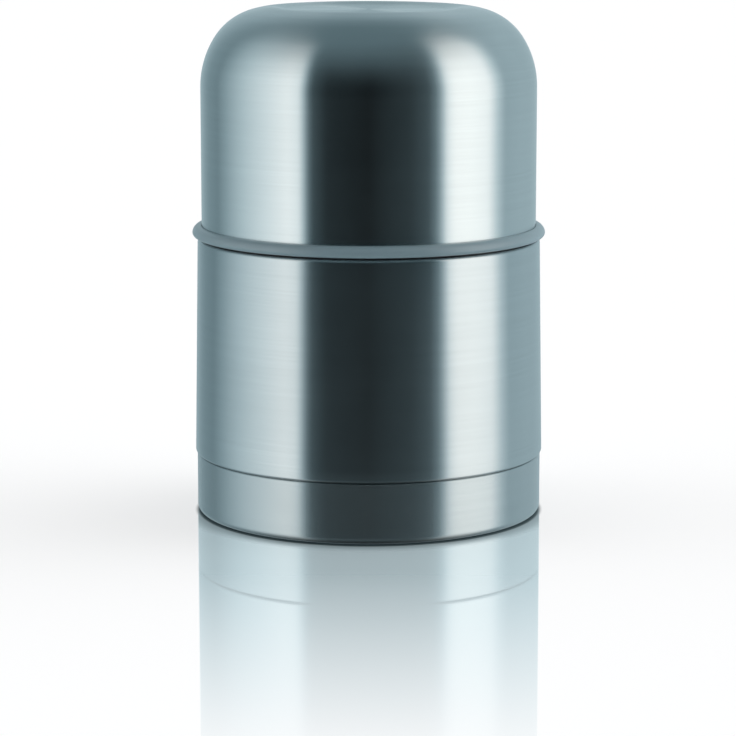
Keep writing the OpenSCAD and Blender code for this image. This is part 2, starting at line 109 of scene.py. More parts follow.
def turned(name, rows, steps=288, swell=None):
    """Turns a closed outline about Z: x = r cos a, y = r sin a, z = h, with a in equal steps.

    swell(a, r, h) gives a radial offset in mm for each point of the grid, and r = 0 becomes one point.
    The UV map runs along the outline in U and round the jar in V, both in metres."""
    ahead = np.roll(rows, -1, axis=0)
    if np.sum(rows[:, 0] * ahead[:, 1] - ahead[:, 0] * rows[:, 1]) < 0:
        rows = rows[::-1]
    angle = np.arange(steps) * 2 * math.pi / steps
    radius = np.repeat(rows[:, :1], steps, axis=1)
    height = np.repeat(rows[:, 1:], steps, axis=1)
    if swell is not None:
        radius = radius + swell(angle[None, :], radius, height)
    points = np.stack([radius * np.cos(angle), radius * np.sin(angle), height], axis=-1) * MM

    pole = rows[:, 0] < 1e-6
    used = np.ones(radius.shape, bool)
    used[pole, 1:] = False
    number = np.cumsum(used).reshape(used.shape) - 1
    beside = np.roll(number, -1, axis=1)
    low = np.flatnonzero(~(pole & np.roll(pole, -1)))
    high = (low + 1) % len(rows)
    quads = np.stack([number[low], beside[low], beside[high], number[high]], axis=-1)
    kept = np.ones(quads.shape, bool)
    kept[pole[low], :, 1] = False
    kept[pole[high], :, 3] = False
    piece = mesh_piece(name, points[used], quads[kept], kept.sum(axis=-1).ravel(), 32)

    along = np.concatenate([[0], np.cumsum(np.linalg.norm(np.roll(rows, -1, axis=0) - rows, axis=1))]) * MM
    around = np.arange(steps + 1) * np.max(rows[:, 0]) * MM * 2 * math.pi / steps
    u = np.stack([along[low], along[low], along[low + 1], along[low + 1]], axis=-1)
    v = np.stack([around[:-1], around[1:], around[1:], around[:-1]], axis=-1)
    uv = np.stack(np.broadcast_arrays(u[:, None], v[None]), axis=-1)
    layer = piece.data.uv_layers.new(name="along_and_around")
    layer.data.foreach_set("uv", uv[kept].astype(np.float32).ravel())
    return piece


def ridges(wall, depth, height, lead, sweep, starts, width):
    """Radial offset of a screw thread: each start climbs by lead * a / 360 from height, with a rounded
    crest depth * (1 - (distance / half width)^2)^0.7 that fades in and out over its first and last steps."""
    first_start, fade = 11, 14

    def swell(a, r, h):
        total = np.zeros(np.broadcast(a, r).shape)
        for start in range(starts):
            turn = (np.degrees(a) - first_start - 360 * start / starts) % 360
            off = (h - height - lead * turn / 360) / (width / 2)
            crest = np.clip(1 - off ** 2, 0, 1) ** 0.7
            grown = np.clip(np.minimum(turn, sweep - turn) / fade, 0, 1)
            total = np.maximum(total, crest * grown * grown * (3 - 2 * grown))
        return depth * total * (np.abs(r - wall) < 0.02)

    return swell


def dressed(piece, node, material, body):
    """Gives a new piece its material and its body, and lets it stand for a CAD node."""
    piece.data.materials.append(material)
    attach(piece, body)
    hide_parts(node)


def fill(tree, node, *inputs, **values):
    """Fills in a node and returns it.

    A named value sets the node's property of that name or, with _ for a space, its input of that name.
    The values in inputs go into its inputs in their order, and None leaves one as it is. An input that gets
    another node's output is joined to it."""
    for key in [key for key in values if hasattr(node, key)]:
        setattr(node, key, values.pop(key))
    named = [(node.inputs[key.replace("_", " ")], value) for key, value in values.items()]
    for socket, value in [*zip(node.inputs, inputs), *named]:
        if isinstance(value, bpy.types.NodeSocket):
            tree.links.new(value, socket)
        elif value is not None:
            socket.default_value = value
    return node


def adder(tree):
    """A short way to add a node of some kind to the tree and fill it in."""
    def add(kind, *inputs, **values):
        return fill(tree, tree.nodes.new(kind), *inputs, **values)

    return add


def new_material(name):
    """A material, its node tree, its Principled shader and a short way to add nodes."""
    material = bpy.data.materials.new(name)
    material.use_nodes = True
    tree = material.node_tree
    return material, tree, tree.nodes["Principled BSDF"], adder(tree)


def result(add, operation, *values):
    """What a Math node makes of up to three values."""
    return add("ShaderNodeMath", *values, operation=operation).outputs[0]


def shades(add, noise, colour, darker, lighter, margin):
    """The colour, darkened by the share darker where the noise is below margin and lightened by the share
    lighter where it is above 1 - margin, with an even change between them."""
    node = add("ShaderNodeValToRGB", noise)
    low, high = node.color_ramp.elements
    low.position = margin
    high.position = 1 - margin
    low.color = (*[c * (1 - darker) for c in colour], 1)
    high.color = (*[min(1, c * (1 + lighter)) for c in colour], 1)
    return node.outputs["Color"]


def steel_finish(name, colour, roughness, stretch, line, lines_per_mm=3.0, metal=1.0):
    """Stainless steel brushed round the axis.

    The brush lines are noise on (x, y, length along the outline), squeezed hard along the outline, so each
    line runs round the piece. They move the colour a little, and a soft haze moves the roughness. The
    shader's tangent runs along the outline, so highlights stretch across the lines, by the amount in
    stretch."""
    material, tree, shader, add = new_material(name)
    place = add("ShaderNodeTexCoord").outputs
    across = add("ShaderNodeSeparateXYZ", place["Object"]).outputs
    along = add("ShaderNodeSeparateXYZ", place["UV"]).outputs
    joined = add("ShaderNodeCombineXYZ", across["X"], across["Y"], along["X"]).outputs[0]
    fine = add("ShaderNodeMapping", joined, Scale=(28, 28, 1000 * lines_per_mm)).outputs[0]
    broad = add("ShaderNodeMapping", joined, Scale=(14, 14, 260 * lines_per_mm)).outputs[0]
    cloud = add("ShaderNodeMapping", joined, Scale=(30, 30, 22)).outputs[0]
    hair = add("ShaderNodeTexNoise", fine, Scale=1.0, Detail=3.0, Roughness=0.65).outputs["Fac"]
    band = add("ShaderNodeTexNoise", broad, Scale=1.0, Detail=2.0, Roughness=0.5).outputs["Fac"]
    haze = add("ShaderNodeTexNoise", cloud, Scale=1.0, Detail=3.0, Roughness=0.55).outputs["Fac"]
    brushed = result(add, "MULTIPLY_ADD", hair, 0.6, result(add, "MULTIPLY", band, 0.4))
    rough = add("ShaderNodeMapRange", haze, 0.35, 0.65, roughness * 0.9, roughness * 1.12)
    tangent = add("ShaderNodeTangent", direction_type="UV_MAP", uv_map="along_and_around")
    fill(tree, shader, Base_Color=shades(add, brushed, colour, 0.10 * line, 0.08 * line, 0.3),
         Metallic=metal, Roughness=rough.outputs["Result"], Tangent=tangent.outputs["Tangent"],
         Anisotropic=stretch)
    return material


neck_r, mouth_r = 43.2, 40.5
shoulder_z, lip_z = 79.2, 95.0
liner_r, liner_t, wall_t = 44.7, 0.5, 0.6
slope_z, neck_end_z, floor_z, weld_z = 70.0, 76.0, 13.1, 20.6
floor_corner_r, neck_bend_r, neck_bend_drop, slope_bend_r, slope_bend_rise = 6.0, 2.2, 0.4, 2.4, 0.6
roll_r = (neck_r - mouth_r) / 2
roll_c = ((neck_r + mouth_r) / 2, lip_z - roll_r)
vessel_steel = steel_finish("vessel_steel", (0.60, 0.64, 0.65), 0.24, stretch=0.55, line=0.4,
                            lines_per_mm=2.0)
liner_thread = ridges(mouth_r, depth=-0.95, height=lip_z - 12.5, lead=10, sweep=210, starts=2, width=1.6)
inner_liner = turned("inner_liner", outline(
    arc(roll_c, roll_r, 0, 180),
    run((mouth_r, lip_z - roll_r), (mouth_r, neck_end_z), 0.25),
    arc((mouth_r + neck_bend_r, neck_end_z - neck_bend_drop), neck_bend_r, 180, 215, 5),
    arc((liner_r - slope_bend_r, slope_z + slope_bend_rise), slope_bend_r, 35, 0, 6),
    [(liner_r, weld_z), (liner_r + liner_t, weld_z), (liner_r + liner_t, slope_z),
     (mouth_r + liner_t, neck_end_z)],
    arc(roll_c, roll_r - liner_t, 180, 0)), swell=liner_thread)
dressed(inner_liner, "inner_liner", vessel_steel, "jar")

corner_c = (liner_r - floor_corner_r, floor_z + liner_t + floor_corner_r)
liner_bottom = turned("liner_bottom", outline(
    run((0, floor_z), (corner_c[0], floor_z), 4),
    arc(corner_c, floor_corner_r + liner_t, 270, 360),
    [(liner_r + liner_t, weld_z), (liner_r, weld_z)],
    arc(corner_c, floor_corner_r, 360, 270),
    run((corner_c[0], floor_z + liner_t), (0, floor_z + liner_t), 4)))
dressed(liner_bottom, "liner_bottom", vessel_steel, "jar")


# Foil, getter and strap: bright copper foil wound on the vessel, and a dull sintered pill under a strap.
# They lie in the evacuated gap and are never seen on the closed jar.
def plain_finish(name, colour, roughness, metallic, grain, scale, bump, **inputs):
    """Noise on Object coordinates moves the colour by the share in grain and raises a bump of that scale.

    inputs are further values for the shader."""
    material, tree, shader, add = new_material(name)
    place = add("ShaderNodeTexCoord").outputs["Object"]
    noise = add("ShaderNodeTexNoise", place, Scale=scale, Detail=4.0, Roughness=0.6).outputs["Fac"]
    rough = add("ShaderNodeMapRange", noise, To_Min=roughness * 0.88, To_Max=min(1, roughness * 1.12))
    raised = add("ShaderNodeBump", Strength=bump, Distance=0.0002, Height=noise)
    fill(tree, shader, Base_Color=shades(add, noise, colour, grain, grain, 0.3), Metallic=metallic,
         Roughness=rough.outputs["Result"], Normal=raised.outputs["Normal"], **inputs)
    return material


def carried(node, material):
    """Gives a CAD node its finish and leaves its mesh as it is."""
    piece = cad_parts[node]
    piece.data.materials.clear()
    piece.data.materials.append(material)


copper_foil = plain_finish("copper_foil", (0.80, 0.46, 0.30), 0.25, metallic=1.0, grain=0.1, scale=260,
                           bump=0.5)
getter_metal = plain_finish("getter_metal", (0.26, 0.26, 0.27), 0.7, metallic=0.6, grain=0.2, scale=2400,
                            bump=0.4)
strip_steel = plain_finish("strip_steel", (0.55, 0.57, 0.57), 0.35, metallic=1.0, grain=0.06, scale=900,
                           bump=0.1)
carried("foil_wrap", copper_foil)
carried("getter_pill", getter_metal)
carried("getter_strap", strip_steel)


# Vacuum bottom and its seal: a pressed steel disc welded in the skirt, with a drop of dark solder glass
# melted over the pump hole. A ring of cured adhesive holds the base cup on the skirt.
solder_glass = plain_finish("solder_glass", (0.10, 0.15, 0.13), 0.12, metallic=0.0, grain=0.25, scale=500,
                            bump=0.05, IOR=1.6)
bond = plain_finish("bond", (0.10, 0.11, 0.12), 0.6, metallic=0.0, grain=0.15, scale=700, bump=0.2)
carried("vacuum_base", strip_steel)
carried("sealing_drop", solder_glass)
carried("bond_ring", bond)


# Outer shell: one sheet of stainless steel, drawn, necked in at the shoulder, brushed round its wall.
# The lid's three-start thread is rolled into its neck. The skirt below the seam is under the base cup.
seam_r, top_r, seam_z = 50.0, 49.0, 17.25
shoulder_edge_r, neck_fillet, seam_edge, seam_gap = 1.2, 0.8, 0.8, 0.10
skirt_r, skirt_z = 48.4, 5.0
edge_c = (top_r - shoulder_edge_r, shoulder_z - shoulder_edge_r)
fillet_c = (neck_r + neck_fillet, shoulder_z + neck_fillet)
skin_steel = steel_finish("skin_steel", (0.60, 0.66, 0.675), 0.23, stretch=1.0, line=0.35)
neck_thread = ridges(neck_r, depth=1.05, height=shoulder_z + 4.6, lead=15, sweep=135, starts=3, width=1.6)
outer_shell = turned("outer_shell", outline(
    [(skirt_r, skirt_z), (skirt_r, seam_z + seam_gap)],
    arc((seam_r - seam_edge, seam_z + seam_gap + seam_edge), seam_edge, 270, 360, 8),
    run((seam_r, seam_z + seam_gap + seam_edge), (top_r, shoulder_z - shoulder_edge_r), 3),
    arc(edge_c, shoulder_edge_r, 0, 90),
    arc(fillet_c, neck_fillet, 270, 180, 6),
    run((neck_r, shoulder_z + neck_fillet), (neck_r, lip_z - roll_r), 0.25),
    [(neck_r - wall_t, lip_z - roll_r)],
    arc(fillet_c, neck_fillet + wall_t, 180, 270, 6),
    arc(edge_c, shoulder_edge_r - wall_t, 90, 0, 6),
    [(seam_r - wall_t, seam_z + wall_t), (skirt_r - wall_t, seam_z + wall_t), (skirt_r - wall_t, skirt_z)]),
    swell=neck_thread)
dressed(outer_shell, "outer_shell", skin_steel, "jar")


# Base cup: a shallow steel cup, pressed and brushed like the wall, pushed over the skirt up to the seam.
# It stands on a narrow ring, and its middle is pressed in.
base_r, base_edge_r, stand_w, hollow_h, press_r, rim_chamfer = 49.55, 2.0, 4.0, 1.5, 0.9, 0.2
stand_r = base_r - base_edge_r - stand_w
press_out = stand_r + 0.3
press_in = stand_r - hollow_h - 0.4
rim_top = seam_z - seam_gap
base_c = (base_r - base_edge_r, base_edge_r)
base_steel = steel_finish("base_steel", (0.53, 0.59, 0.605), 0.243, stretch=0.98, line=0.35, metal=0.96)
base_cup = turned("base_cup", outline(
    run((0, hollow_h), (press_in, hollow_h), 4),
    arc((press_in, hollow_h - press_r), press_r, 90, 45, 5),
    arc((press_out, press_r), press_r, 225, 270, 5),
    arc(base_c, base_edge_r, 270, 360),
    run((base_r, base_edge_r), (base_r, rim_top - rim_chamfer), 2.5),
    [(base_r - rim_chamfer, rim_top), (base_r - wall_t, rim_top)],
    arc(base_c, base_edge_r - wall_t, 360, 270, 6),
    [(press_out, wall_t), (press_out - hollow_h, wall_t + hollow_h), (0, wall_t + hollow_h)]))
dressed(base_cup, "base_cup", base_steel, "jar")


# Stopper: a threaded plug and a fluted cap of dark polypropylene, with foam between them.
# A soft silicone ring under the flange seals on the rolled lip.
def moulded_finish(name, colour, roughness, spark=1500, grain=0.06, bump=0.12, **inputs):
    """Moulded plastic or rubber: a fine spark-eroded texture from two sizes of noise on Object coordinates.

    The large noise clouds the colour a little, as flow in the mould does, and the small one is the bump.
    inputs are further values for the shader."""
    material, tree, shader, add = new_material(name)
    place = add("ShaderNodeTexCoord").outputs["Object"]
    flow = add("ShaderNodeTexNoise", place, Scale=45.0, Detail=3.0, Roughness=0.5).outputs["Fac"]
    spot = add("ShaderNodeTexNoise", place, Scale=spark, Detail=2.0, Roughness=0.7).outputs["Fac"]
    rough = add("ShaderNodeMapRange", spot, To_Min=roughness * 0.9, To_Max=min(1, roughness * 1.1))
    raised = add("ShaderNodeBump", Strength=bump, Distance=0.0001, Height=spot)
    fill(tree, shader, Base_Color=shades(add, flow, colour, grain, grain, 0.25),
         Roughness=rough.outputs["Result"], Normal=raised.outputs["Normal"], **inputs)
    return material


plug_r, plug_t, plug_z, chamfer, small_chamfer = 39.1, 1.8, 74.5, 0.3, 0.2
gasket_z, gasket_t = 95.15, 1.3
flange_z, flange_r, cover_z = 96.49, 43.0, 98.09
stopper_black = moulded_finish("stopper_black", (0.050, 0.056, 0.060), 0.42)
plug_thread = ridges(plug_r, depth=0.95, height=lip_z - 15.0, lead=10, sweep=180, starts=2, width=1.6)
stopper_plug = turned("stopper_plug", outline(
    [(plug_r - plug_t, plug_z), (plug_r - chamfer, plug_z)],
    run((plug_r, plug_z + chamfer), (plug_r, flange_z), 0.25),
    [(flange_r - chamfer, flange_z), (flange_r, flange_z + chamfer), (flange_r, cover_z - chamfer),
     (flange_r - chamfer, cover_z), (plug_r - plug_t, cover_z)]), swell=plug_thread)
dressed(stopper_plug, "stopper_plug", stopper_black, "stopper")

foam = moulded_finish("stopper_foam", (0.80, 0.76, 0.66), 0.9, spark=1100, grain=0.05, bump=0.6)
carried("stopper_foam", foam)

stem_r, chimney_r, chimney_t, chimney_z, chimney_top = 2.0, 5.5, 1.4, 76.5, 97.0
underside_z, toe_w, toe_h, play = 73.5, 0.6, 0.5, 0.08
stopper_base = turned("stopper_base", outline(
    [(stem_r + play, underside_z), (plug_r - toe_w, underside_z), (plug_r, underside_z + toe_h),
     (plug_r, plug_z), (plug_r - plug_t, plug_z), (plug_r - plug_t, chimney_z),
     (chimney_r + chimney_t, chimney_z), (chimney_r + chimney_t, chimney_top), (chimney_r, chimney_top),
     (chimney_r, chimney_z), (stem_r + play, chimney_z)]))
dressed(stopper_base, "stopper_base", stopper_black, "stopper")

cover_r, cover_top, cover_edge_r, dish_r, dish_h = 42.4, 103.5, 1.4, 33.4, 1.4
dish_bend_r, dish_bend_out, dish_bend_in = 1.0, 0.8, 0.6
button_r, cover_t, spigot_h = 6.5, 1.8, 2.5
flutes, flute_depth, flute_r, flute_z, flute_run = 24, 0.9, 2.6, 98.89, 0.5


def fluted(a, r, h):
    """Radial offset of the finger flutes: a circle of radius flute_r bites flute_depth into the rim, so the
    bite at an angle t from its middle is flute_depth less the circle's drop there, above the plain foot."""
    pitch = 2 * math.pi / flutes
    across = ((a / pitch) % 1 - 0.5) * pitch * cover_r
    bite = np.clip(flute_depth - (flute_r - np.sqrt(np.clip(flute_r ** 2 - across ** 2, 0, None))), 0, None)
    foot = np.clip((h - flute_z) / flute_run, 0, 1)
    rim = np.clip((r - (cover_r - cover_edge_r)) / cover_edge_r, 0, 1)
    return -bite * foot * rim


stopper_cover = turned("stopper_cover", outline(
    [(plug_r - 2 * plug_t, cover_z - spigot_h), (plug_r - plug_t, cover_z - spigot_h),
     (plug_r - plug_t, cover_z), (cover_r - small_chamfer, cover_z)],
    run((cover_r, cover_z + small_chamfer), (cover_r, cover_top - cover_edge_r), 0.25),
    arc((cover_r - cover_edge_r, cover_top - cover_edge_r), cover_edge_r, 0, 90),
    arc((dish_r + dish_h + dish_bend_out, cover_top - dish_bend_r), dish_bend_r, 90, 135, 6),
    arc((dish_r - dish_bend_in, cover_top - dish_h + dish_bend_r), dish_bend_r, 315, 270, 6),
    run((dish_r - dish_bend_in, cover_top - dish_h), (button_r + play + chamfer, cover_top - dish_h), 4),
    [(button_r + play, cover_top - dish_h - chamfer), (button_r + play, cover_top - dish_h - cover_t),
     (plug_r - 2 * plug_t, cover_top - dish_h - cover_t)]), steps=576, swell=fluted)
dressed(stopper_cover, "stopper_cover", stopper_black, "stopper")

silicone = moulded_finish("clear_silicone", (0.60, 0.63, 0.62), 0.38, spark=600, grain=0.03, bump=0.03,
                          Subsurface_Weight=0.3, Subsurface_Scale=0.002)
gasket_in, gasket_out = plug_r + play, flange_r - 0.1
stopper_gasket = turned("stopper_gasket", outline(
    [(gasket_in, gasket_z), (gasket_out - 0.5, gasket_z)],
    arc((gasket_out - gasket_t / 2, gasket_z + gasket_t / 2), gasket_t / 2, 270, 450, 12),
    [(gasket_in, gasket_z + gasket_t)]))
dressed(stopper_gasket, "stopper_gasket", silicone, "stopper_seal")


# Vent: a grey button slides in the chimney against a wound spring, and its stem carries a silicone disc
# that shuts the hole under the stopper. A small spring clip holds the disc.
def wound(name, coil_r, wire_r, low, tall, turns, rings=32, sides=12):
    """Sweeps a round wire along a helix, whose middle climbs evenly from low + wire_r to
    low + tall - wire_r.

    A point of the wire is the middle + wire_r * (cos b * outward + sin b * upright), where outward points
    away from the axis and upright is square to it and to the helix. Flat faces close the two ends."""
    share = np.linspace(0, 1, rings * turns + 1)
    a = share * turns * 2 * math.pi
    b = np.arange(sides) * 2 * math.pi / sides
    climb = tall - 2 * wire_r
    flat = np.zeros_like(a)
    steep = flat + climb / (turns * 2 * math.pi)
    outward = np.stack([np.cos(a), np.sin(a), flat], axis=1)
    forward = np.stack([-coil_r * np.sin(a), coil_r * np.cos(a), steep], axis=1)
    upright = np.cross(outward, forward / np.linalg.norm(forward, axis=1)[:, None])
    middle = coil_r * outward + np.stack([flat, flat, low + wire_r + climb * share], axis=1)
    round_wire = np.cos(b)[None, :, None] * outward[:, None] + np.sin(b)[None, :, None] * upright[:, None]
    points = (middle[:, None] + wire_r * round_wire) * MM
    number = np.arange(len(a) * sides).reshape(-1, sides)
    beside = np.roll(number, -1, axis=1)
    quads = np.stack([number[:-1], number[1:], beside[1:], beside[:-1]], axis=-1)
    corners = np.concatenate([quads.ravel(), number[0], number[-1][::-1]])
    sizes = np.array([4] * (quads.size // 4) + [sides] * 2)
    return mesh_piece(name, points.reshape(-1, 3), corners, sizes, 50)


button_top, cap_z, barrel_r, barrel_z, stem_top = 103.8, 99.8, 5.3, 87.16, 92.16
button_edge_r, thumb_rim, thumb_bend_r, thumb_h = 0.6, 2.6, 0.8, 0.4
button_grey = moulded_finish("button_grey", (0.34, 0.39, 0.41), 0.4)
vent_button = turned("vent_button", outline(
    [(stem_r, barrel_z), (barrel_r, barrel_z), (barrel_r, cap_z), (button_r - small_chamfer, cap_z),
     (button_r, cap_z + small_chamfer)],
    arc((button_r - button_edge_r, button_top - button_edge_r), button_edge_r, 0, 90, 8),
    arc((button_r - thumb_rim, button_top + thumb_h), thumb_bend_r, 330, 270, 5),
    run((button_r - thumb_rim - 0.2, button_top - thumb_h), (0, button_top - thumb_h), 1),
    [(0, stem_top), (stem_r, stem_top)]), steps=96)
dressed(vent_button, "vent_button", button_grey, "vent")

spring_steel = plain_finish("spring_steel", (0.66, 0.67, 0.68), 0.22, metallic=1.0, grain=0.05, scale=900,
                            bump=0.08)
spring_r, wire_r, spring_z, spring_h, spring_turns, button_stroke = 3.0, 0.4, 76.58, 10.5, 6, 2.5
vent_spring = wound("vent_spring", spring_r, wire_r, spring_z, spring_h, spring_turns)
dressed(vent_spring, "vent_spring", spring_steel, "stopper")
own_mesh(vent_spring)
carried("stem_clip", spring_steel)
carried("valve_stem", moulded_finish("stem_grey", (0.50, 0.53, 0.54), 0.45))
disc_z, disc_t, disc_r = 72.61, 0.85, 5.5
valve_seal = turned("valve_seal", outline(
    [(stem_r, disc_z)],
    arc((disc_r - disc_t / 2, disc_z + disc_t / 2), disc_t / 2, 270, 450, 12),
    [(stem_r, disc_z + disc_t)]), steps=96)
dressed(valve_seal, "valve_seal", silicone, "vent")


# Lid seal: a soft black ring set in a groove under the lid's lip. It is the thin dark line between the
# lip and the shoulder.
cup_z, seal_in, seal_out, seal_depth, seal_z = 79.7, 45.4, 48.4, 0.75, 79.3
black_rubber = moulded_finish("black_rubber", (0.022, 0.026, 0.029), 0.6, spark=900)
cup_seal = turned("cup_seal", outline(
    [(seal_in, seal_z)],
    arc((seal_out - chamfer, seal_z + chamfer), chamfer, 270, 360, 5),
    [(seal_out, cup_z + seal_depth), (seal_in, cup_z + seal_depth)]))
dressed(cup_seal, "cup_seal", black_rubber, "lid_seal")


# Collar: satin grey polypropylene, moulded in one with the lid's thread and with the round lip that stands
# out under the dome. The dome's rim sits in the groove behind the lip.
collar_r, cup_r, bowl_gap, lip_r, lip_h, collar_top = 44.9, 47.8, 0.4, 50.45, 3.2, 93.0
lip_foot_r, lip_brow_r, lip_root_r = 1.2, 2.2, 0.15
rim_z = cup_z + lip_h / 2
collar_grey = moulded_finish("collar_grey", (0.190, 0.276, 0.312), 0.34, spark=1300, grain=0.04, bump=0.06,
                             Coat_Weight=0.8, Coat_Roughness=0.3)
collar_thread = ridges(collar_r, depth=-1.25, height=shoulder_z + 2.1, lead=15, sweep=90, starts=3, width=1.6)
thread_collar = turned("thread_collar", outline(
    [(collar_r, cup_z), (seal_in - play, cup_z), (seal_in - play, cup_z + seal_depth + play),
     (seal_out + play, cup_z + seal_depth + play), (seal_out + play, cup_z)],
    arc((lip_r - lip_foot_r, cup_z + lip_foot_r), lip_foot_r, 270, 360),
    arc((lip_r - lip_brow_r, cup_z + lip_h - lip_brow_r), lip_brow_r, 8, 84),
    arc((cup_r + play + lip_root_r, cup_z + lip_h - lip_root_r), lip_root_r, 90, 180, 4),
    [(cup_r + play, rim_z), (cup_r - wall_t - bowl_gap, rim_z), (cup_r - wall_t - bowl_gap, collar_top),
     (collar_r, collar_top)],
    run((collar_r, collar_top), (collar_r, cup_z), 0.25)), swell=collar_thread)
dressed(thread_collar, "thread_collar", collar_grey, "cup_lid")


# Lid: a steel dome, drawn in one piece and brushed round, over a moulded bowl that lets it serve as a cup.
# Its top has a broad soft crest round a very shallow dish.
bowl_t, bowl_z, cup_top = 1.4, 93.8, 145.0
bend_r, bend_a, shoulder_r, shoulder_a = 26.0, 32.0, 18.2, 75.0
crest_inset, brow_a, crest_roll, lid_dish_z = 22.8, 80.8, 10.0, 144.0


def dome(inward):
    """The lid's outline from its wall to its middle, drawn in by inward: a bend, a corner and a brow that
    meet smoothly at the angles bend_a and shoulder_a, then equal arcs over the crest and into the dish,
    which start at the angle brow_a and end at the height lid_dish_z."""
    brow_x = cup_r - crest_inset
    corner_x = cup_r - bend_r + (bend_r - shoulder_r) * unit(bend_a)[0]
    brow_r = shoulder_r + (corner_x - brow_x) / unit(shoulder_a)[0]
    bend_c = np.array([cup_r - bend_r, cup_top - brow_r - (bend_r - shoulder_r) * unit(bend_a)[1]
                       - (shoulder_r - brow_r) * unit(shoulder_a)[1]])
    shoulder_c = bend_c + (bend_r - shoulder_r) * unit(bend_a)
    brow_c = shoulder_c + (shoulder_r - brow_r) * unit(shoulder_a)
    crest_c = brow_c + (brow_r - crest_roll) * unit(brow_a)
    drop = crest_c[1] + crest_roll - lid_dish_z
    dish_a = math.degrees(math.acos(1 - drop / (2 * crest_roll)))
    dish_c = crest_c + 2 * crest_roll * unit(90 + dish_a)
    fine = 1.6
    flat_z = lid_dish_z - inward
    foot_z = rim_z if inward <= wall_t else bowl_z
    return [run((cup_r - inward, foot_z), (cup_r - inward, bend_c[1]), fine * 2),
            arc(bend_c, bend_r - inward, 0, bend_a, 16),
            arc(shoulder_c, shoulder_r - inward, bend_a, shoulder_a, 20),
            arc(brow_c, brow_r - inward, shoulder_a, brow_a, 8),
            arc(crest_c, crest_roll - inward, brow_a, 90 + dish_a, 12),
            arc(dish_c, crest_roll + inward, 270 + dish_a, 270, 8),
            run((dish_c[0], flat_z), (0, flat_z), fine)]


def shell_outline(outside, inside):
    """The dome at two depths, joined into one closed wall."""
    return outline(*dome(outside), *[stretch[::-1] for stretch in dome(inside)[::-1]])


dome_steel = steel_finish("dome_steel", (0.66, 0.72, 0.73), 0.20, stretch=1.0, line=0.35)
cup_shell = turned("cup_shell", shell_outline(0, wall_t), steps=320)
dressed(cup_shell, "cup_shell", dome_steel, "cup_lid")

bowl_grey = moulded_finish("bowl_grey", (0.30, 0.35, 0.37), 0.35, grain=0.03, bump=0.05)
cup_bowl = turned("cup_bowl", shell_outline(wall_t + bowl_gap, wall_t + bowl_gap + bowl_t))
dressed(cup_bowl, "cup_bowl", bowl_grey, "cup_lid")
carried("bowl_seal", black_rubber)


# Studio floor: white, with a polish that lies only where the photo shows the jar mirrored, in a strip that
# narrows towards the camera. The mirrored image is strongest at the foot and fades out towards the camera.
# A painted contact shadow runs round the foot: a thin dark ring, with a wider, fainter painted shade beside
# it inside the strip.
def eased(add, value, span, first, last):
    """Goes smoothly from first to last as the value goes from one end of the span to the other."""
    node = add("ShaderNodeMapRange", value, *span, first, last, interpolation_type="SMOOTHSTEP")
    return node.outputs["Result"]


def colour_mix(add, share, first, second):
    """Goes from the first colour to the second as the share goes from 0 to 1. The Mix node has five inputs
    for numbers and vectors between its share and its two colours."""
    return add("ShaderNodeMix", share, *[None] * 5, first, second, data_type="RGBA").outputs[2]


floor_reach, floor_glow, shadow_lift = 30.0, 1.025, 0.6
mirror_share, mirror_fade = 0.53, (-0.254, -0.080)
mirror_back, mirror_edge = (-0.012, 0.010), (0.04945, 0.04985)
# The painted contact shadow round the foot and the fainter painted shade in the strip: their reach here, and
# their painted dark colour below.
foot_middle, contact_shadow_r = (0, -0.0012, 0), (0.0488, 0.0506)
shade_share, shade_r = 0.5, (0.0492, 0.0565)
# The floor is tinted towards pale cyan by the mirror's share: a painted reflection tint, laid over the real
# mirror.
floor_colour, mirrored_colour = (0.97, 0.975, 0.98, 1), (0.60, 0.90, 1.0, 1)
painted_shade_colour = (0.08, 0.115, 0.125, 1)
floor_mesh = bpy.data.meshes.new("floor")
floor_mesh.from_pydata([(-floor_reach, -floor_reach, 0), (floor_reach, -floor_reach, 0),
                        (floor_reach, floor_reach, 0), (-floor_reach, floor_reach, 0)], [], [(0, 1, 2, 3)])
floor = bpy.data.objects.new("floor", floor_mesh)
bpy.context.scene.collection.objects.link(floor)
floor.visible_glossy = False
floor_white, tree, shader, add = new_material("floor_white")
place = add("ShaderNodeTexCoord").outputs["Object"]
split = add("ShaderNodeSeparateXYZ", place).outputs
camera_ray = add("ShaderNodeLightPath").outputs["Is Camera Ray"]
towards = add("ShaderNodeMapRange", split["Y"], *mirror_fade, 0.0, mirror_share).outputs["Result"]
fade = result(add, "MULTIPLY", towards, eased(add, split["Y"], mirror_back, 1.0, 0.0))
narrowing = result(add, "MULTIPLY_ADD", split["Y"], -1 / camera_place[1], 1.0)
spread = result(add, "DIVIDE", result(add, "ABSOLUTE", split["X"]), narrowing)
within = eased(add, spread, mirror_edge, 1.0, 0.0)
share = result(add, "MULTIPLY", fade, within)
# Painted reflection: the floor's own colour and its glow turn cyan where the mirror lies, as the tint of the
# mirrored steel.
cooled = colour_mix(add, share, floor_colour, mirrored_colour)
fill(tree, shader, Base_Color=cooled, Roughness=0.9, Specular_IOR_Level=0.0)
bright = add("ShaderNodeEmission", cooled, floor_glow).outputs[0]
lift = result(add, "MULTIPLY", camera_ray, shadow_lift)
lifted = add("ShaderNodeMixShader", lift, shader.outputs["BSDF"], bright).outputs[0]
mirror = add("ShaderNodeBsdfGlossy", Color=(1, 1, 1, 1), Roughness=0.03).outputs[0]
blend = add("ShaderNodeMixShader", result(add, "MULTIPLY", share, camera_ray), lifted, mirror).outputs[0]
